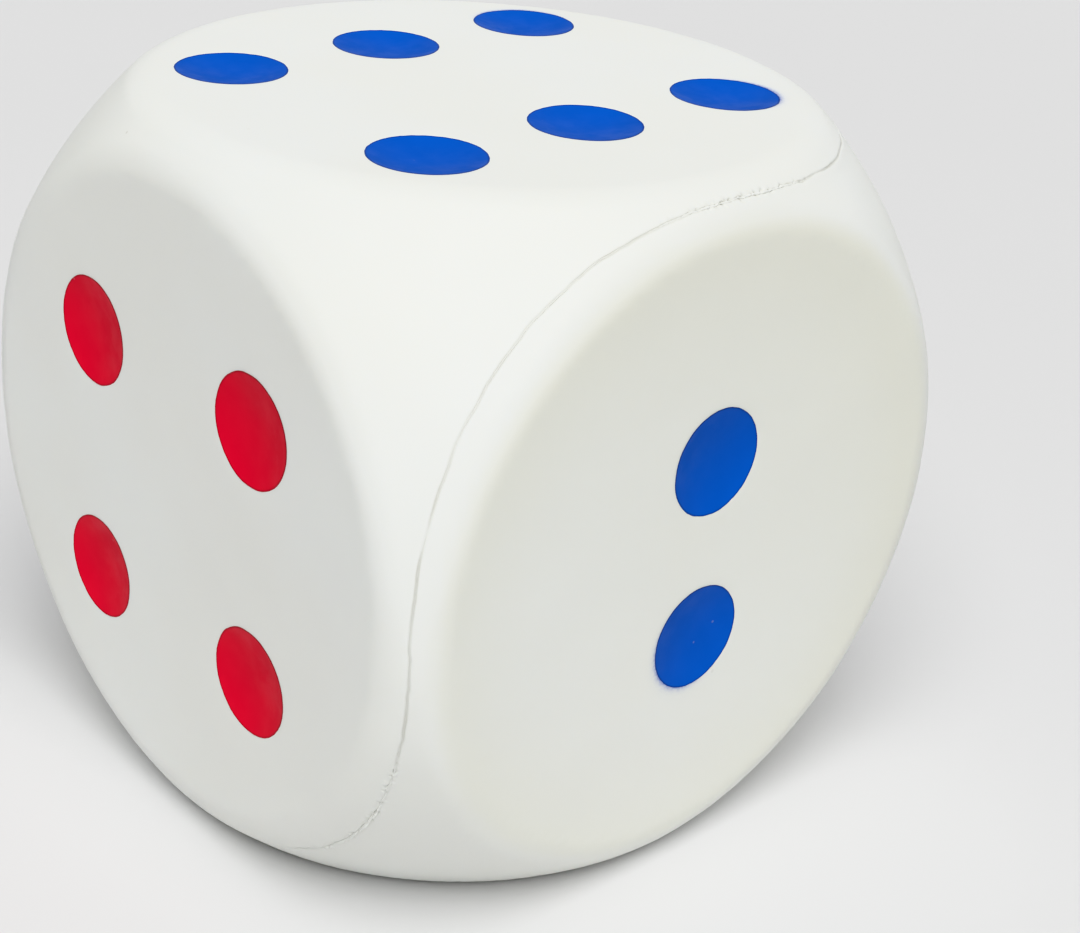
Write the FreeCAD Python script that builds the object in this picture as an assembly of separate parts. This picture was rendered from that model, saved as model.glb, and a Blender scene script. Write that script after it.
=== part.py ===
"""A giant soft foam die for lawn games, 150 mm across its flats.

The die is one moulding of integral-skin polyurethane foam: a light foam core inside a dense skin.
The skin forms in two mould halves, each of which shapes three faces around one corner, so the
parting line runs over six edges of the cube in a zig-zag. A low bead of trimmed flash follows it.
Each pip is a shallow spherical dimple with a film of paint in it. One and four are red, the rest blue.

Frame: the origin is the middle of the face that carries the one, on the ground. +Z is up, through
the six. The four faces -Y and the two faces +X, so opposite faces add up to seven.
Every length is in millimetres.
"""
import FreeCAD
import Part
import math
import os

from FreeCAD import Vector

# The outer form: a cube cut back by a ball, with each flat's circular rim rounded over.
EDGE = 150.0                            # across two opposite flats
HALF = EDGE / 2
CORNER_RADIUS = 1.356 * HALF            # from the centre to a corner
RIM_ROUND = 0.135 * HALF                # radius that blends a flat into the corner ball
CENTRE = Vector(0, 0, HALF)             # the die's centre, half its height above the ground

# The moulding's layers.
SKIN = 1.8                              # dense skin, measured inwards from the surface
FLASH_WIDTH = 0.6                       # bead along the parting line, at its root
FLASH_TOP_WIDTH = 0.3
FLASH_HEIGHT = 0.4

# The parting line: at 2 it follows cones of 45 degrees, and higher values hug the corners.
PARTING_POWER = 2.4
PARTING_POINTS = 72
PARTING_INSIDE = 0.3 * HALF             # the parting surface runs from here, inside the core
PARTING_OUTSIDE = 1.8 * HALF            # to here, outside the die

# The pips.
PIP_RADIUS = 0.153 * HALF
PIP_DEPTH = 2.0
ACE_RADIUS = 0.23 * HALF                # the one is larger than the other pips
ACE_DEPTH = 2.6
PAINT = 0.2                             # film of paint over a dimple

# Distances of the pips from the middle of their face.
TWO_STEP = 0.262 * HALF
THREE_STEP = 0.37 * HALF
FOUR_ACROSS = 0.366 * HALF
FOUR_UP = 0.362 * HALF
FIVE_STEP = 0.40 * HALF
SIX_ACROSS = 0.417 * HALF
SIX_ALONG = 0.525 * HALF

X, Y, Z = Vector(1, 0, 0), Vector(0, 1, 0), Vector(0, 0, 1)

# Each face: its outward normal, the two directions its pips are placed along, and the pips.
FACES = {
    "one": (-Z, X, Y, [(0, 0)]),
    "two": (X, Y, Z, [(0, TWO_STEP), (0, -TWO_STEP)]),
    "three": (Y, X, Z, [(-THREE_STEP, THREE_STEP), (0, 0), (THREE_STEP, -THREE_STEP)]),
    "four": (-Y, X, Z, [(a * FOUR_ACROSS, b * FOUR_UP) for b in (1, -1) for a in (-1, 1)]),
    "five": (-X, Y, Z, [(a * FIVE_STEP, b * FIVE_STEP) for b in (1, -1) for a in (-1, 1)] + [(0, 0)]),
    "six": (Z, X, Y, [(a * SIX_ACROSS, b * SIX_ALONG) for a in (-1, 1) for b in (-1, 0, 1)]),
}


def die_form(grow):
    """The outer form with its whole surface moved outwards by grow."""
    half = HALF + grow
    cube = Part.makeBox(2 * half, 2 * half, 2 * half, CENTRE - Vector(half, half, half))
    ball = Part.makeSphere(CORNER_RADIUS + grow, CENTRE)
    form = cube.common(ball)
    rims = [edge for edge in form.Edges if isinstance(edge.Curve, Part.Circle) and lies_on_flat(edge, half)]
    return form.makeFillet(RIM_ROUND + grow, rims)


def lies_on_flat(edge, half):
    """True for an edge in the plane of one of the six flats, which leaves out the ball's own seam."""
    spots = [edge.valueAt(t) - CENTRE for t in edge.ParameterRange]
    spots.append(edge.valueAt(sum(edge.ParameterRange) / 2) - CENTRE)
    return any(all(abs(abs(spot.dot(axis)) - half) < 1e-6 for spot in spots) for axis in (X, Y, Z))


def parting_side(u):
    """Zero on the parting surface, above zero on the side of the six, four and five."""
    signed = [math.copysign(abs(c) ** PARTING_POWER, c) for c in (u.x, u.y, u.z)]
    return signed[2] - signed[1] - signed[0]


def parting_directions():
    """Unit vectors from the die's centre to points along the parting line, in order round it."""
    pole = (Z - Y - X).normalize()       # from the corner of the one, two and three to its opposite
    across = (X - Y).normalize()
    along = pole.cross(across)
    directions = []
    for i in range(PARTING_POINTS):
        turn = 2 * math.pi * i / PARTING_POINTS
        equator = across * math.cos(turn) + along * math.sin(turn)
        low, high = math.radians(30), math.radians(150)
        for _ in range(50):
            middle = (low + high) / 2
            if parting_side(pole * math.cos(middle) + equator * math.sin(middle)) > 0:
                low = middle
            else:
                high = middle
        directions.append(pole * math.cos(low) + equator * math.sin(low))
    return directions


def moved_sideways(directions, distance):
    """The same loop of directions, moved sideways along the surface of the corner ball."""
    moved = []
    for i, here in enumerate(directions):
        tangent = directions[(i + 1) % len(directions)] - directions[i - 1]
        sideways = here.cross(tangent).normalize()
        moved.append((here + sideways * (distance / CORNER_RADIUS)).normalize())
    return moved


def loop(directions, radius):
    """A smooth closed curve through the points that lie this far out along the directions."""
    curve = Part.BSplineCurve()
    curve.interpolate([CENTRE + u * radius for u in directions], PeriodicFlag=True)
    return curve.toShape()


def parting_surface(directions):
    """A cone over the loop, with its tip at the die's centre, cut off inside the core."""
    return Part.makeRuledSurface(loop(directions, PARTING_INSIDE), loop(directions, PARTING_OUTSIDE))


def skin_halves(skin, directions):
    """The skin cut along the parting surface: the half with the one first."""
    pieces, _ = skin.generalFuse([parting_surface(directions)])
    halves = sorted(pieces.Solids, key=lambda half: parting_side(half.CenterOfMass - CENTRE))
    return halves[0], halves[-1]


def flash_bead(directions):
    """A ring with a low trapezium section, lying on the corner ball as the parting line does."""
    root, top = FLASH_WIDTH / 2, FLASH_TOP_WIDTH / 2
    section = [(-root, 0), (root, 0), (top, FLASH_HEIGHT), (-top, FLASH_HEIGHT)]
    loops = [loop(moved_sideways(directions, a), CORNER_RADIUS + up) for a, up in section]
    walls = [Part.makeRuledSurface(loops[i - 1], loops[i]) for i in range(len(loops))]
    return Part.makeSolid(Part.makeShell(walls))


def pips():
    """Every pip as name, middle on its face, outward normal, radius and depth."""
    found = []
    for face, (normal, right, up, places) in FACES.items():
        radius, depth = (ACE_RADIUS, ACE_DEPTH) if face == "one" else (PIP_RADIUS, PIP_DEPTH)
        for number, (a, b) in enumerate(places, 1):
            name = f"pip_{face}" if len(places) == 1 else f"pip_{face}_{number}"
            found.append((name, CENTRE + normal * HALF + right * a + up * b, normal, radius, depth))
    return found


def ball_radius(radius, depth):
    """The radius of the ball whose cap has this rim radius and this depth."""
    return (radius ** 2 + depth ** 2) / (2 * depth)


def dimple_ball(pip, grow):
    """The ball that presses a pip's dimple into the face, made larger by grow."""
    _, middle, normal, radius, depth = pip
    size = ball_radius(radius, depth)
    return Part.makeSphere(size + grow, middle + normal * (size - depth), normal)


def paint_film(pip):
    """The paint in one dimple: a bowl of even thickness that ends level with the face."""
    _, middle, normal, radius, depth = pip
    size = ball_radius(radius, depth)
    rise = size - depth                      # from the face up to the ball's middle
    inner = size - PAINT
    rim = math.sqrt(inner ** 2 - rise ** 2)  # where the paint's surface meets the face
    half_turn = math.asin(rim / inner) / 2
    outer_half_turn = math.asin(radius / size) / 2

    def spot(r, height):
        return Vector(r, 0, height)

    def on_ball(ball, turn):
        return spot(ball * math.sin(turn), rise - ball * math.cos(turn))

    back = Part.Arc(spot(0, -depth), on_ball(size, outer_half_turn), spot(radius, 0))
    edge = Part.LineSegment(spot(radius, 0), spot(rim, 0))
    front = Part.Arc(spot(rim, 0), on_ball(inner, half_turn), spot(0, PAINT - depth))
    axis = Part.LineSegment(spot(0, PAINT - depth), spot(0, -depth))
    profile = Part.Face(Part.Wire([curve.toShape() for curve in (back, edge, front, axis)]))
    film = profile.revolve(Vector(0, 0, 0), Z, 360)
    film.Placement = FreeCAD.Placement(middle, FreeCAD.Rotation(Z, normal))
    return film


def build():
    """Every sub-part by its node name."""
    all_pips = pips()
    outside = die_form(0)
    core = die_form(-SKIN).cut([dimple_ball(pip, SKIN) for pip in all_pips])
    skin = outside.cut([dimple_ball(pip, 0) for pip in all_pips]).cut(core)

    line = parting_directions()
    one_half, six_half = skin_halves(skin, line)
    made = {
        "foam_core": core,
        "skin_half_two_three_one": one_half,
        "skin_half_four_five_six": six_half,
        "parting_flash": flash_bead(line),
    }
    made.update({pip[0]: paint_film(pip) for pip in all_pips})
    return made


os.makedirs("parts", exist_ok=True)
for node, shape in build().items():
    solids = shape.Solids
    whole = solids[0] if len(solids) == 1 else Part.Compound(solids)
    whole.exportStep(f"parts/{node}.step")
    print(node, "solids", len(solids), "valid", whole.isValid(), "cm3", round(whole.Volume / 1000, 3))
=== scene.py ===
"""The looks of a giant foam die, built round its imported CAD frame. Lengths are in metres."""
import math

import bpy
import numpy as np
from mathutils import Matrix, Vector
from mathutils.geometry import delaunay_2d_cdt


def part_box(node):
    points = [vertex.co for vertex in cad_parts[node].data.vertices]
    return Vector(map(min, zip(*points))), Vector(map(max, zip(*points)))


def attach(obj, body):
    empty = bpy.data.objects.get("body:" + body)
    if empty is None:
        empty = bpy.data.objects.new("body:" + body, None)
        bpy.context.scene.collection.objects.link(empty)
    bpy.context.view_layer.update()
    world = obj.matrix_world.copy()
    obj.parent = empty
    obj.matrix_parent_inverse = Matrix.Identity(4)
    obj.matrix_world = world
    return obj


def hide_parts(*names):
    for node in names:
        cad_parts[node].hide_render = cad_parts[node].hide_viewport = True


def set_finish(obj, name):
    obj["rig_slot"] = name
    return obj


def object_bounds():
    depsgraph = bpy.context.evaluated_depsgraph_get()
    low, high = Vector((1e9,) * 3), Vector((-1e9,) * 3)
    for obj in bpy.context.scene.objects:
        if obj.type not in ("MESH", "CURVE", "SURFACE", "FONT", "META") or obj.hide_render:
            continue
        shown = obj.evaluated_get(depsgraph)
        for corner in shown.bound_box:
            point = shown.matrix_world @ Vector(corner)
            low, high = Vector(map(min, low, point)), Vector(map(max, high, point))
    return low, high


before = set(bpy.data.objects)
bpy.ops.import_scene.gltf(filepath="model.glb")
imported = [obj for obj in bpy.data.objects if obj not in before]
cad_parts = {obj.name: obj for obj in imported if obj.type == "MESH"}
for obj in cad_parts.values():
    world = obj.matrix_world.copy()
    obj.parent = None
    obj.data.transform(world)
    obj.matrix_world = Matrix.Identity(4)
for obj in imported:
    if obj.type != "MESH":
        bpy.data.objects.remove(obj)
CAD_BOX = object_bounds()

MM = 0.001
LOW, HIGH = (np.array(corner) for corner in CAD_BOX)
CENTRE = (LOW + HIGH) / 2
HALF = (HIGH[2] - LOW[2]) / 2
SEED = 20

# The outer form, in half edges: a cube met by a ball, with the meeting blended.
BALL = 1.356
CUBE_EDGE_ROUND = 0.045
BLEND = 0.035

# The parting line, as in the CAD model.
PARTING_POWER = 2.4
SKIN = 1.8 * MM
POLE = np.array([-1.0, -1.0, 1.0]) / math.sqrt(3)

# Point spacings of the meshes.
GRID = 88                               # points along an edge of each face's grid
SEAM_STEPS = 1500                       # points along the parting line
SEAM_LANES = [                          # rows beside the line: how far, and every how many points
    (0.22 * MM, 1), (0.5 * MM, 1), (0.9 * MM, 2), (1.5 * MM, 2), (2.3 * MM, 3),
]
SEAM_CLEAR = 3.0 * MM                   # the grid keeps this far from the line
CORE_GRID = 72
PIP_SPOKES = 108
PIP_RINGS = [                           # rings of points round a pip, in pip radii
    0.0, 0.2, 0.4, 0.58, 0.72, 0.83, 0.9, 0.945, 0.97, 0.985, 1.0, 1.015, 1.03, 1.06, 1.1, 1.16,
]
PAINT_RINGS = [0.0, 0.2, 0.4, 0.58, 0.72, 0.83, 0.9, 0.945, 0.97, 0.985, 0.995, 1.0]
PIP_CLEAR = 1.22                        # the grid keeps this many pip radii from a pip

RIM_SOFTNESS = 0.16 * MM                # how sharply a dimple's rim turns
PAINT_LIFT = 0.09 * MM
PAINT_REACH = 0.992                     # paint stops just inside the rim

# The skin's waves, and the groove, swell and torn cells along the parting line.
BROAD_WAVE = 0.07 * MM
SMALL_WAVE = 0.03 * MM
FINE_WAVE = 0.007 * MM
GROOVE_DEPTH = 0.26 * MM
GROOVE_WIDTH = 0.26 * MM
SWELL_HEIGHT = 0.12 * MM
SWELL_WIDTH = 1.6 * MM
CELL_DEPTH = 0.45 * MM
CELL_WIDTH = 0.62 * MM

# Each face: outward normal, and the two directions its pips are placed along.
X, Y, Z = np.eye(3)
FACES = {
    "one": (-Z, X, Y), "two": (X, Y, Z), "three": (Y, X, Z),
    "four": (-Y, X, Z), "five": (-X, Y, Z), "six": (Z, X, Y),
}


def read_pips():
    """Every pip from its CAD film: name, face, middle on the face, normal, radius and depth."""
    found = []
    for name in sorted(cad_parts):
        if not name.startswith("pip_"):
            continue
        face = name.split("_")[1]
        normal, right, up = FACES[face]
        low, high = (np.array(corner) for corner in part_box(name))
        middle = (low + high) / 2 - CENTRE
        middle = middle - normal * (middle @ normal) + normal * HALF
        found.append({
            "name": name, "face": face, "normal": normal, "right": right, "up": up, "middle": middle,
            "radius": abs((high - low) @ right) / 2, "depth": abs((high - low) @ normal),
        })
    return found


PIPS = read_pips()


# ---- the surface ----

def length(v):
    return np.sqrt((v * v).sum(axis=-1))


def unit(v):
    return v / length(v)[..., None]


def form_distance(p):
    """How far outside the plain rounded form each point is, in half edges."""
    q = np.abs(p) - 1 + CUBE_EDGE_ROUND
    cube = length(np.maximum(q, 0)) + np.minimum(q.max(axis=-1), 0) - CUBE_EDGE_ROUND
    both = np.stack([cube + BLEND, length(p) - BALL + BLEND], axis=-1)
    return length(np.maximum(both, 0)) + np.minimum(both.max(axis=-1), 0) - BLEND


def form_radius(u):
    """Distance from the centre to the plain form along each unit direction, in metres."""
    low, high = np.full(len(u), 0.9), np.full(len(u), 1.5)
    for _ in range(26):
        middle = (low + high) / 2
        inside = form_distance(u * middle[:, None]) < 0
        low = np.where(inside, middle, low)
        high = np.where(inside, high, middle)
    return (low + high) / 2 * HALF


def waves(p, scale, seed, count=14):
    """Smooth noise, about -1 to 1: a sum of plane waves with wavelengths near scale."""
    draw = np.random.default_rng(SEED + seed)
    total = np.zeros(len(p))
    for _ in range(count):
        direction = unit(draw.normal(size=3))
        turns = 2 * math.pi / (scale * draw.uniform(0.7, 1.5))
        total += np.sin(p @ direction * turns + draw.uniform(0, 2 * math.pi))
    return total * math.sqrt(2 / count) / 1.6


def seam_side(u):
    """Zero on the parting line and positive towards the pole, with how steeply it changes."""
    flips = np.array([-1.0, -1.0, 1.0])
    value = (flips * np.sign(u) * np.abs(u) ** PARTING_POWER).sum(axis=-1)
    gradient = flips * PARTING_POWER * np.abs(u) ** (PARTING_POWER - 1)
    gradient = gradient - u * (gradient * u).sum(axis=-1)[..., None]
    return value, length(gradient)


def seam_wobble(u):
    """How far the real parting line strays from its ideal curve, towards the pole."""
    spots = u * BALL * HALF
    return 0.16 * MM * waves(spots, 14 * MM, 12) + 0.07 * MM * waves(spots, 3.5 * MM, 13)


def seam_distance(u):
    """Signed distance from the parting line along the surface, good near the line."""
    value, slope = seam_side(u)
    return value / np.maximum(slope, 1e-6) * BALL * HALF - seam_wobble(u)


# Where the flash was torn rather than trimmed: along the edge between the six and the two, and low on
# the edge between the four and the two. Each is a direction and a reach, as a chord of the unit ball.
TORN_ZONES = [((0.95, 0.02, 0.95), 0.24), ((0.86, -0.93, -0.46), 0.16), ((0.60, -0.93, -0.80), 0.26)]

# The curl of flash that was left standing.
WHISKER_AT = (0.73, -0.93, -0.66)
WHISKER_REACH = 0.15


def torn(u):
    """One where the parting line was torn, zero where it was trimmed clean."""
    amount = np.zeros(len(u))
    for spot, reach in TORN_ZONES:
        away = length(u - unit(np.array(spot)))
        amount = np.maximum(amount, np.clip(1.5 * (1 - away / reach), 0, 1))
    return amount


def whisker(u):
    """One along the curl of flash left standing, zero away from it."""
    away = length(u - unit(np.array(WHISKER_AT)))
    return np.clip(2.0 * (1 - away / WHISKER_REACH), 0, 1)


def pip_profile(pip, across):
    """Depth of a dimple at these distances from its middle: a ball's cap with a soft rim."""
    ball = (pip["radius"] ** 2 + pip["depth"] ** 2) / (2 * pip["depth"])
    cap = np.sqrt(np.maximum(ball ** 2 - across ** 2, 1e-12)) - (ball - pip["depth"])
    return (cap + np.sqrt(cap ** 2 + RIM_SOFTNESS ** 2)) / 2


def surface(u):
    """Points on the finished skin along unit directions from the centre of the die."""
    plain = u * form_radius(u)[:, None]
    lift = BROAD_WAVE * waves(plain, 46 * MM, 1) + SMALL_WAVE * waves(plain, 15 * MM, 2)
    lift += FINE_WAVE * waves(plain, 3.4 * MM, 3, 22)
    away = seam_distance(u)
    rough = torn(u)
    groove = GROOVE_DEPTH * np.exp(-(away / GROOVE_WIDTH) ** 2)
    swell = SWELL_HEIGHT * np.exp(-(away / SWELL_WIDTH) ** 2)
    cells = np.maximum(waves(plain, 1.3 * MM, 4, 26), 0) * np.exp(-((away - 0.15 * MM) / CELL_WIDTH) ** 2)
    lift += swell - groove - CELL_DEPTH * rough * cells
    points = plain * (1 + lift / length(plain))[:, None]
    for pip in PIPS:
        offset = plain - pip["middle"]
        across = np.hypot(offset @ pip["right"], offset @ pip["up"])
        near = (plain @ pip["normal"] > 0.9 * HALF) & (across < 1.3 * pip["radius"])
        points[near] -= pip["normal"] * pip_profile(pip, across[near])[:, None]
    return points


def surface_normals(u):
    """Outward normals, from points a short way along the surface to each side."""
    reach = 0.0012                      # as an angle, in radians
    helper = np.where(np.abs(u[:, 2:]) < 0.9, Z, X)
    along = unit(np.cross(helper, u))
    across = np.cross(u, along)
    first = surface(unit(u + along * reach)) - surface(unit(u - along * reach))
    second = surface(unit(u + across * reach)) - surface(unit(u - across * reach))
    return unit(np.cross(first, second))


# ---- directions for the mesh points ----

def seam_directions(steps):
    """Unit directions to evenly turned points along the parting line, round the pole."""
    across = unit(np.array([1.0, -1.0, 0.0]))
    along = np.cross(POLE, across)
    turn = np.linspace(0, 2 * math.pi, steps, endpoint=False)[:, None]
    equator = across * np.cos(turn) + along * np.sin(turn)
    low, high = np.full(steps, math.radians(30)), np.full(steps, math.radians(150))
    for _ in range(40):
        middle = (low + high) / 2
        at = POLE * np.cos(middle)[:, None] + equator * np.sin(middle)[:, None]
        inside = seam_side(at)[0] > 0
        low, high = np.where(inside, middle, low), np.where(inside, high, middle)
    line = POLE * np.cos(low)[:, None] + equator * np.sin(low)[:, None]
    return beside(line, -seam_wobble(line))


def beside(line, distance):
    """The line moved sideways over the ball, away from the pole where distance is above zero."""
    tangent = np.roll(line, -1, axis=0) - np.roll(line, 1, axis=0)
    sideways = unit(np.cross(tangent, line))
    return unit(line + sideways * np.reshape(distance, (-1, 1)) / (BALL * HALF))


def grid_directions():
    """A grid over each face, spaced evenly by angle."""
    steps = np.tan((np.arange(GRID) + 0.5) / GRID * math.pi / 2 - math.pi / 4)
    a, b = (side.ravel()[:, None] for side in np.meshgrid(steps, steps))
    return unit(np.concatenate([n + a * r + b * t for n, r, t in FACES.values()]))


def pip_directions(pip, rings, reach=1.0):
    """Directions to rings of points round a pip: the middle first, then each ring."""
    turn = np.arange(PIP_SPOKES) / PIP_SPOKES * 2 * math.pi
    spots = [pip["middle"][None]]
    for ring in rings[1:]:
        size = ring * reach * pip["radius"]
        outward = np.cos(turn)[:, None] * pip["right"] + np.sin(turn)[:, None] * pip["up"]
        spots.append(pip["middle"] + size * outward)
    return unit(np.concatenate(spots))


def clear_of_pips(u):
    """Which directions miss every pip and the rings of points round it."""
    keep = np.ones(len(u), bool)
    for pip in PIPS:
        facing = u @ pip["normal"]
        at = u / np.where(np.abs(facing) < 1e-6, 1e-6, facing)[:, None] * HALF
        away = length(at - pip["middle"])
        keep &= (facing < 0) | (away > PIP_CLEAR * pip["radius"])
    return keep


# ---- pieces ----

def add_piece(name, points, polygons, normals=None, values=None):
    """A mesh object in the row frame, smooth shaded, with optional normals and point values."""
    mesh = bpy.data.meshes.new(name)
    mesh.from_pydata((points + CENTRE).tolist(), [], polygons)
    mesh.polygons.foreach_set("use_smooth", np.ones(len(mesh.polygons), bool))
    for key, amounts in (values or {}).items():
        mesh.attributes.new(key, "FLOAT", "POINT").data.foreach_set("value", amounts.astype(np.float32))
    mesh.update()
    if normals is not None:
        mesh.normals_split_custom_set_from_vertices(normals.tolist())
    piece = bpy.data.objects.new(name, mesh)
    bpy.context.scene.collection.objects.link(piece)
    return piece


# Pips with paint mist beside them: the side it is on, along right and up, and its strength.
MISTED = [("pip_two_2", -0.75, -0.66, 0.9), ("pip_six_6", 0.3, 0.95, 0.95), ("pip_six_3", -0.85, 0.5, 0.8)]


def overspray(points):
    """Blue mist on the skin beside a few pips, where the stencil let paint under."""
    mist = np.zeros(len(points))
    for name, side_right, side_up, strength in MISTED:
        pip = next(p for p in PIPS if p["name"] == name)
        offset = points - pip["middle"]
        a, b = offset @ pip["right"], offset @ pip["up"]
        across = np.hypot(a, b)
        toward = np.clip((a * side_right + b * side_up) / np.maximum(across, 1e-9), 0, 1) ** 1.5
        past = np.maximum(across - pip["radius"], 0)
        near = points @ pip["normal"] > 0.9 * HALF
        mist = np.maximum(mist, near * toward * strength * np.exp(-past / (0.55 * MM)))
    return mist


def upper_seam_weight(points):
    """One along the upper parting line, falling to a trace low down."""
    return np.clip(1 + (points[:, 2] / HALF + 0.25) / 0.3, 0.12, 1)


def seam_darkening(points):
    """How much darker the skin is made along the parting line: a fine line over its groove, and wider
    blotches where it was torn.
    """
    u = unit(points)
    away = seam_distance(u)
    line = np.exp(-(away / (0.34 * MM)) ** 2) * (0.75 + 0.25 * waves(points, 8 * MM, 14))
    blotches = np.clip(waves(points, 1.6 * MM, 15, 26), 0, 1) * np.exp(-(away / (0.85 * MM)) ** 2)
    return np.clip(line + 0.6 * torn(u) * blotches, 0, 1) * upper_seam_weight(points)


def two_flat_warm_tint(points):
    """How strongly the skin is tinted warmer and a little darker: most on the two's flat, near its rim and
    towards its upper back.
    """
    flat = np.clip((points[:, 0] / HALF - 0.985) / 0.014, 0, 1)
    outward = np.hypot(points[:, 1], points[:, 2]) / HALF
    slope = np.clip(0.55 + 0.45 * (points[:, 1] + points[:, 2]) / HALF, 0.15, 1)
    return flat * np.clip(0.7 * slope + 0.6 * np.clip((outward - 0.5) / 0.4, 0, 1) ** 2, 0, 1)


def skin_half(name, node, pole, line, loose):
    """One half of the skin: a fine mesh bounded by the parting line, with its edge turned inwards."""
    across = unit(np.array([1.0, -1.0, 0.0]))
    along = np.cross(pole, across)
    side = np.sign(pole @ POLE)
    inside = loose[np.sign(seam_side(loose)[0]) == side]
    lanes = [beside(line, -side * away)[::step] for away, step in SEAM_LANES]
    u = np.concatenate([line, inside, *lanes])
    tilt = np.arccos(np.clip(u @ pole, -1, 1))
    turn = np.arctan2(u @ along, u @ across)
    spots = [Vector(spot) for spot in np.stack([tilt * np.cos(turn), tilt * np.sin(turn)], axis=1).tolist()]
    count = len(line)
    rim = [(i, (i + 1) % count) for i in range(count)]
    _, _, triangles, sources, _, _ = delaunay_2d_cdt(spots, rim, [], 1, 1e-9)
    where = [source[0] for source in sources]
    u = u[where]
    points, normals = surface(u), surface_normals(u)
    some = np.array(triangles[:200])
    middle = u[some].sum(axis=1)
    facing = np.cross(u[some[:, 1]] - u[some[:, 0]], u[some[:, 2]] - u[some[:, 0]])
    if (facing * middle).sum() < 0:
        triangles = [tuple(reversed(t)) for t in triangles]
    order = {source: i for i, source in enumerate(where)}
    edge = [order[i] for i in range(count)]
    start = len(points)
    points = np.concatenate([points, points[edge] * (1 - SKIN / length(points[edge]))[:, None]])
    normals = np.concatenate([normals, normals[edge]])
    turned = [(edge[i], start + i, start + (i + 1) % count, edge[(i + 1) % count]) for i in range(count)]
    if side < 0:
        turned = [tuple(reversed(t)) for t in turned]
    piece = add_piece(name, points, [tuple(t) for t in triangles] + turned, normals, {
        "overspray": overspray(points),
        "seam": seam_darkening(points),
        "two_flat_tint_amount": two_flat_warm_tint(points),
    })
    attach(piece, "root")
    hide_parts(node)
    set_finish(piece, "skin_white")
    return piece


def flash_bead(line):
    """The bead in the groove: low where it was trimmed, ragged where it was torn."""
    stations = len(line)
    spots = line * form_radius(line)[:, None]
    rough = torn(line)
    ripple = waves(spots, 9 * MM, 5)
    tatter = waves(spots, 1.3 * MM, 6, 30)
    proud = whisker(line)
    height = (-0.10 + 0.05 * ripple + 0.03 * tatter) * MM + rough * (0.10 + 0.20 * tatter) * MM
    height = np.clip(height, -0.15 * MM, 0.4 * MM) + proud * (0.6 + 0.25 * ripple) * MM
    half_width = (0.16 + 0.03 * ripple) * MM + rough * (0.08 + 0.08 * tatter) * MM + proud * 0.06 * MM
    half_width = np.clip(half_width, 0.08 * MM, 0.3 * MM)
    drift = 0.05 * MM * waves(spots, 4 * MM, 7) + rough * 0.08 * MM * waves(spots, 1.8 * MM, 8, 20)
    root = -0.75 * MM
    section = [(-1.0, root), (-1.0, -0.25 * MM), (-0.55, None), (0.55, None), (1.0, -0.25 * MM), (1.0, root)]
    rows = []
    for side, fixed in section:
        at = beside(line, drift + side * half_width)
        up = height if fixed is None else np.full(stations, fixed)
        rows.append(at * (form_radius(at) + up)[:, None])
    points = np.concatenate(rows)
    polygons = []
    for k in range(len(section)):
        after = (k + 1) % len(section)
        for i in range(stations):
            j = (i + 1) % stations
            polygons.append((k * stations + i, after * stations + i, after * stations + j, k * stations + j))
    # The bead is coloured darker where it was trimmed, not where it was torn or stands proud, and little low
    # down.
    bead_darkening = np.tile(0.6 * (1 - rough) * (1 - proud) * upper_seam_weight(spots), len(section))
    piece = add_piece("flash_line", points, polygons, None, {"seam": bead_darkening})
    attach(piece, "root")
    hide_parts("parting_flash")
    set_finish(piece, "skin_white")
    return piece


def foam_inside():
    """The foam inside, with its cells showing, a skin's thickness under the surface."""
    steps = np.tan(np.linspace(-math.pi / 4, math.pi / 4, CORE_GRID))
    corners, polygons = {}, []
    for normal, right, up in FACES.values():
        rows = [[tuple(np.round(normal + a * right + b * up, 9)) for a in steps] for b in steps]
        for row in rows:
            for corner in row:
                corners.setdefault(corner, len(corners))
        turned = np.cross(right, up) @ normal < 0
        for below, above in zip(rows, rows[1:]):
            for i in range(CORE_GRID - 1):
                quad = [corners[c] for c in (below[i], below[i + 1], above[i + 1], above[i])]
                polygons.append(quad[::-1] if turned else quad)
    u = unit(np.array(list(corners)))
    points = surface(u)
    points = points - surface_normals(u) * (SKIN + 0.35 * MM * np.abs(waves(points, 2.5 * MM, 11)))[:, None]
    piece = add_piece("foam_inside", points, polygons)
    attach(piece, "root")
    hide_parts("foam_core")
    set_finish(piece, "foam_core")
    return piece


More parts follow.
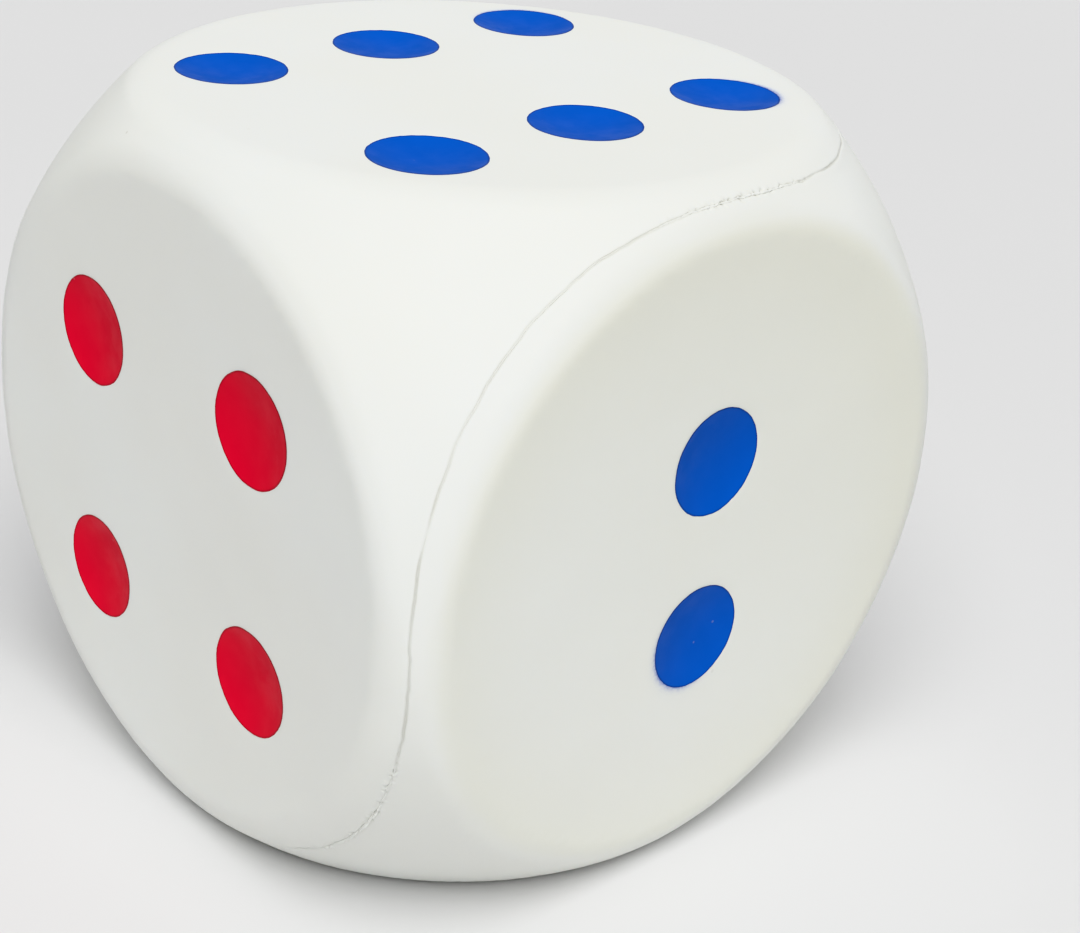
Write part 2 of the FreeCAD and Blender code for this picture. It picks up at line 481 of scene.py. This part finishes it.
def paint_film(pip):
    """The paint in one dimple, a closed film that follows it, with a slightly uneven edge."""
    u = pip_directions(pip, PAINT_RINGS, PAINT_REACH)
    spots = u / (u @ pip["normal"])[:, None] * HALF
    ring = np.arange(len(u) - 1) // PIP_SPOKES
    uneven = 0.035 * MM * waves(spots[1:], 7 * MM, 9) + 0.03 * MM * waves(spots[1:], 1.3 * MM, 10)
    outward = spots[1:] - pip["middle"]
    weight = (np.array(PAINT_RINGS[1:])[ring] ** 8)[:, None]
    spots[1:] += unit(outward) * uneven[:, None] * weight
    u = unit(spots)
    points, normals = surface(u), surface_normals(u)
    last = len(PAINT_RINGS) - 2
    lift = np.concatenate([[PAINT_LIFT], np.where(ring == last, 0.0, PAINT_LIFT)])
    top = points + normals * lift[:, None]
    under = points - normals * PAINT_LIFT
    size = len(u)
    polygons = []
    for k in range(PIP_SPOKES):
        after = (k + 1) % PIP_SPOKES
        polygons.append((0, 1 + k, 1 + after))
        polygons.append((size, size + 1 + after, size + 1 + k))
        for r in range(last):
            a, b = 1 + r * PIP_SPOKES, 1 + (r + 1) * PIP_SPOKES
            polygons.append((a + k, b + k, b + after, a + after))
            polygons.append((size + a + k, size + a + after, size + b + after, size + b + k))
        edge = 1 + last * PIP_SPOKES
        polygons.append((edge + k, size + edge + k, size + edge + after, edge + after))
    if np.cross(pip["right"], pip["up"]) @ pip["normal"] < 0:
        polygons = [tuple(reversed(p)) for p in polygons]
    edge_values = np.concatenate([[0.0], np.array(PAINT_RINGS[1:])[ring]])
    piece = add_piece(
        "paint_" + pip["name"][4:], np.concatenate([top, under]), polygons,
        np.concatenate([normals, -normals]), {"rim": np.concatenate([edge_values, edge_values])})
    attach(piece, "root")
    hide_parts(pip["name"])
    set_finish(piece, "pip_red" if pip["face"] in ("one", "four") else "pip_blue")
    return piece


# ---- materials ----

RED = (0.76, 0.0015, 0.026)
BLUE = (0.0006, 0.088, 0.53)


def new_material(name):
    """A node material, with its nodes, its links and its main shader."""
    material = bpy.data.materials.new(name)
    material.use_nodes = True
    nodes = material.node_tree.nodes
    return material, nodes, material.node_tree.links, nodes["Principled BSDF"]


def add_noise(nodes, links, scale, detail=3.0, roughness=0.5):
    """Noise over object coordinates, with scale in features per metre."""
    place = nodes.new("ShaderNodeTexCoord")
    noise = nodes.new("ShaderNodeTexNoise")
    noise.inputs["Scale"].default_value = scale
    noise.inputs["Detail"].default_value = detail
    noise.inputs["Roughness"].default_value = roughness
    links.new(place.outputs["Object"], noise.inputs["Vector"])
    return noise.outputs["Fac"]


def add_range(nodes, links, source, from_low, from_high, to_low, to_high):
    """A value mapped smoothly from one range to another."""
    spread = nodes.new("ShaderNodeMapRange")
    spread.interpolation_type = "SMOOTHSTEP"
    spread.inputs["From Min"].default_value = from_low
    spread.inputs["From Max"].default_value = from_high
    spread.inputs["To Min"].default_value = to_low
    spread.inputs["To Max"].default_value = to_high
    links.new(source, spread.inputs["Value"])
    return spread.outputs["Result"]


def add_mix(nodes, links, factor, first, second):
    """A colour mix; first and second are colours or sockets."""
    mix = nodes.new("ShaderNodeMix")
    mix.data_type = "RGBA"
    links.new(factor, mix.inputs["Factor"])
    for socket, value in ((mix.inputs[6], first), (mix.inputs[7], second)):
        if isinstance(value, tuple):
            socket.default_value = (*value, 1.0)
        else:
            links.new(value, socket)
    return mix.outputs[2]


def add_bump(nodes, links, height, distance, strength=1.0, base=None):
    """A bumped normal; base is another bump that it goes over."""
    bump = nodes.new("ShaderNodeBump")
    bump.inputs["Strength"].default_value = strength
    bump.inputs["Distance"].default_value = distance
    links.new(height, bump.inputs["Height"])
    if base is not None:
        links.new(base, bump.inputs["Normal"])
    return bump.outputs["Normal"]


def add_value(nodes, key):
    """One of the mesh's point values."""
    node = nodes.new("ShaderNodeAttribute")
    node.attribute_name = key
    return node.outputs["Fac"]


def skin_material():
    """Off-white satin polyurethane skin: faint clouds of tone, tiny specks and pores, paint mist."""
    material, nodes, links, shader = new_material("foam_skin")
    clouds = add_range(nodes, links, add_noise(nodes, links, 16, 2.0), 0.35, 0.65, 0.0, 1.0)
    tone = add_mix(nodes, links, clouds, (0.866, 0.882, 0.852), (0.852, 0.862, 0.818))
    specks = nodes.new("ShaderNodeTexVoronoi")
    specks.inputs["Scale"].default_value = 95
    place = nodes.new("ShaderNodeTexCoord")
    links.new(place.outputs["Object"], specks.inputs["Vector"])
    dots = add_range(nodes, links, specks.outputs["Distance"], 0.025, 0.055, 1.0, 0.0)
    rare = add_range(nodes, links, add_noise(nodes, links, 60, 0.0), 0.66, 0.70, 0.0, 0.45)
    both = nodes.new("ShaderNodeMath")
    both.operation = "MULTIPLY"
    links.new(dots, both.inputs[0])
    links.new(rare, both.inputs[1])
    tone = add_mix(nodes, links, both.outputs[0], tone, (0.50, 0.48, 0.41))
    # The two's flat is tinted warmer and a little darker, most near its rim and towards its upper back.
    tone = add_mix(nodes, links, add_value(nodes, "two_flat_tint_amount"), tone, (0.825, 0.83, 0.745))
    # Darker along the parting line: a fine line over the groove, and blotches where it was torn.
    seam = add_range(nodes, links, add_value(nodes, "seam"), 0.05, 1.0, 0.0, 0.6)
    tone = add_mix(nodes, links, seam, tone, (0.50, 0.49, 0.42))
    grain = add_range(nodes, links, add_noise(nodes, links, 1500, 2.0), 0.3, 0.7, 0.55, 1.0)
    mist = nodes.new("ShaderNodeMath")
    mist.operation = "MULTIPLY"
    links.new(add_value(nodes, "overspray"), mist.inputs[0])
    links.new(grain, mist.inputs[1])
    tone = add_mix(nodes, links, mist.outputs[0], tone, BLUE)
    links.new(tone, shader.inputs["Base Color"])
    links.new(add_range(nodes, links, add_noise(nodes, links, 45, 4.0), 0.3, 0.7, 0.46, 0.58),
              shader.inputs["Roughness"])
    fine = add_bump(nodes, links, add_noise(nodes, links, 1100, 3.0), 0.02 * MM, 0.6)
    orange_peel = add_bump(nodes, links, add_noise(nodes, links, 210, 2.0), 0.05 * MM, 0.6, fine)
    links.new(orange_peel, shader.inputs["Normal"])
    shader.inputs["IOR"].default_value = 1.45
    shader.inputs["Subsurface Weight"].default_value = 0.10
    shader.inputs["Subsurface Radius"].default_value = (1.0, 0.9, 0.75)
    shader.inputs["Subsurface Scale"].default_value = 2.0 * MM
    return material


def paint_material(name, colour, shade):
    """Sprayed satin paint: thicker and darker at the rim, a faint brushed texture and a few nibs."""
    material, nodes, links, shader = new_material(name)
    patches = add_range(nodes, links, add_noise(nodes, links, 120, 4.0), 0.3, 0.7, 0.0, 0.25)
    tone = add_mix(nodes, links, patches, colour, shade)
    rim = add_range(nodes, links, add_value(nodes, "rim"), 0.955, 1.0, 0.0, 0.75)
    tone = add_mix(nodes, links, rim, tone, tuple(0.45 * c for c in shade))
    nibs = nodes.new("ShaderNodeTexVoronoi")
    nibs.inputs["Scale"].default_value = 210
    place = nodes.new("ShaderNodeTexCoord")
    links.new(place.outputs["Object"], nibs.inputs["Vector"])
    spots = add_range(nodes, links, nibs.outputs["Distance"], 0.04, 0.10, 1.0, 0.0)
    rare = add_range(nodes, links, add_noise(nodes, links, 140, 0.0), 0.62, 0.66, 0.0, 0.5)
    some = nodes.new("ShaderNodeMath")
    some.operation = "MULTIPLY"
    links.new(spots, some.inputs[0])
    links.new(rare, some.inputs[1])
    tone = add_mix(nodes, links, some.outputs[0], tone, tuple(0.6 * c + 0.25 for c in colour))
    links.new(tone, shader.inputs["Base Color"])
    links.new(add_range(nodes, links, add_noise(nodes, links, 240, 3.0), 0.3, 0.7, 0.40, 0.52),
              shader.inputs["Roughness"])
    film = add_bump(nodes, links, add_noise(nodes, links, 900, 3.0, 0.6), 0.03 * MM, 0.6)
    nibbed = add_bump(nodes, links, some.outputs[0], 0.12 * MM, 0.7, film)
    links.new(nibbed, shader.inputs["Normal"])
    shader.inputs["IOR"].default_value = 1.40
    shader.inputs["Specular IOR Level"].default_value = 0.3
    return material


def core_material():
    """Pale open-cell foam, seen only if the skin is taken off."""
    material, nodes, links, shader = new_material("open_cell_foam")
    cells = nodes.new("ShaderNodeTexVoronoi")
    cells.inputs["Scale"].default_value = 900
    place = nodes.new("ShaderNodeTexCoord")
    links.new(place.outputs["Object"], cells.inputs["Vector"])
    # Painted shade: each cell's middle, where the bump sinks into a pit, is coloured darker.
    tone = add_mix(nodes, links, cells.outputs["Distance"], (0.72, 0.69, 0.58), (0.87, 0.85, 0.76))
    links.new(tone, shader.inputs["Base Color"])
    links.new(add_bump(nodes, links, cells.outputs["Distance"], 0.4 * MM, 0.8), shader.inputs["Normal"])
    shader.inputs["Roughness"].default_value = 0.9
    return material


def floor_material():
    """A plain pale floor with barely visible clouds."""
    material, nodes, links, shader = new_material("pale_floor")
    tone = add_mix(nodes, links, add_noise(nodes, links, 3, 2.0), (0.70, 0.70, 0.70), (0.72, 0.72, 0.72))
    links.new(tone, shader.inputs["Base Color"])
    shader.inputs["Roughness"].default_value = 0.8
    return material


# ---- the stage ----

# The camera, in half edges from the die's middle.
CAMERA_AT = Vector((3.9205, -3.4501, 2.4899))
CAMERA_LOOKS = Vector((-0.64138, 0.61983, -0.45215))
CAMERA_UP = Vector((-0.37959, 0.25578, 0.88909))
CAMERA_LENS = 65.44
CAMERA_SENSOR = 36.0


def add_camera():
    data = bpy.data.cameras.new("camera")
    data.sensor_width = CAMERA_SENSOR
    data.lens = CAMERA_LENS
    data.clip_start = 0.01
    data.clip_end = 100
    camera = bpy.data.objects.new("camera", data)
    bpy.context.scene.collection.objects.link(camera)
    back = -CAMERA_LOOKS.normalized()
    right = CAMERA_UP.cross(back).normalized()
    turn = Matrix((right, back.cross(right), back)).transposed()
    camera.matrix_world = Matrix.Translation(Vector(CENTRE) + CAMERA_AT * HALF) @ turn.to_4x4()
    bpy.context.scene.camera = camera


def add_sun(name, toward, strength, softness):
    """A distant soft light. Toward points from the die to the light; softness is its width in degrees."""
    data = bpy.data.lights.new(name, "SUN")
    data.energy = strength
    data.angle = math.radians(softness)
    light = bpy.data.objects.new(name, data)
    bpy.context.scene.collection.objects.link(light)
    light.rotation_mode = "QUATERNION"
    light.rotation_quaternion = Vector(toward).to_track_quat("Z", "Y")


def add_floor(material):
    """A floor wide enough to fill the view from low down."""
    size = 600 * HALF
    mesh = bpy.data.meshes.new("floor")
    corners = [(-size, -size, LOW[2]), (size, -size, LOW[2]), (size, size, LOW[2]), (-size, size, LOW[2])]
    mesh.from_pydata(corners, [], [(0, 1, 2, 3)])
    mesh.materials.append(material)
    floor = bpy.data.objects.new("floor", mesh)
    bpy.context.scene.collection.objects.link(floor)


def add_world(brightness):
    world = bpy.data.worlds.new("studio")
    world.use_nodes = True
    sky = world.node_tree.nodes["Background"]
    sky.inputs["Color"].default_value = (1.0, 1.0, 1.0, 1.0)
    sky.inputs["Strength"].default_value = brightness
    bpy.context.scene.world = world


# ---- the whole ----

def build():
    skin = skin_material()
    paints = {
        "pip_red": paint_material("red_paint", RED, (0.60, 0.0012, 0.022)),
        "pip_blue": paint_material("blue_paint", BLUE, (0.0005, 0.070, 0.43)),
    }
    line = seam_directions(SEAM_STEPS)
    loose = grid_directions()
    loose = loose[(np.abs(seam_distance(loose)) > SEAM_CLEAR) & clear_of_pips(loose)]
    loose = np.concatenate([loose] + [pip_directions(pip, PIP_RINGS) for pip in PIPS])
    halves = [
        skin_half("skin_four_five_six", "skin_half_four_five_six", POLE, line, loose),
        skin_half("skin_two_three_one", "skin_half_two_three_one", -POLE, line, loose),
    ]
    for piece in halves + [flash_bead(seam_directions(2 * SEAM_STEPS))]:
        piece.data.materials.append(skin)
    for pip in PIPS:
        piece = paint_film(pip)
        piece.data.materials.append(paints[piece["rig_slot"]])
    foam_inside().data.materials.append(core_material())


bpy.context.scene.view_settings.view_transform = "Khronos PBR Neutral"
add_camera()
add_floor(floor_material())
add_world(0.06)
add_sun("key", (0.36, -0.28, 0.82), 3.65, 55)
add_sun("back", (-0.65, 0.70, 0.15), 0.7, 80)
build()
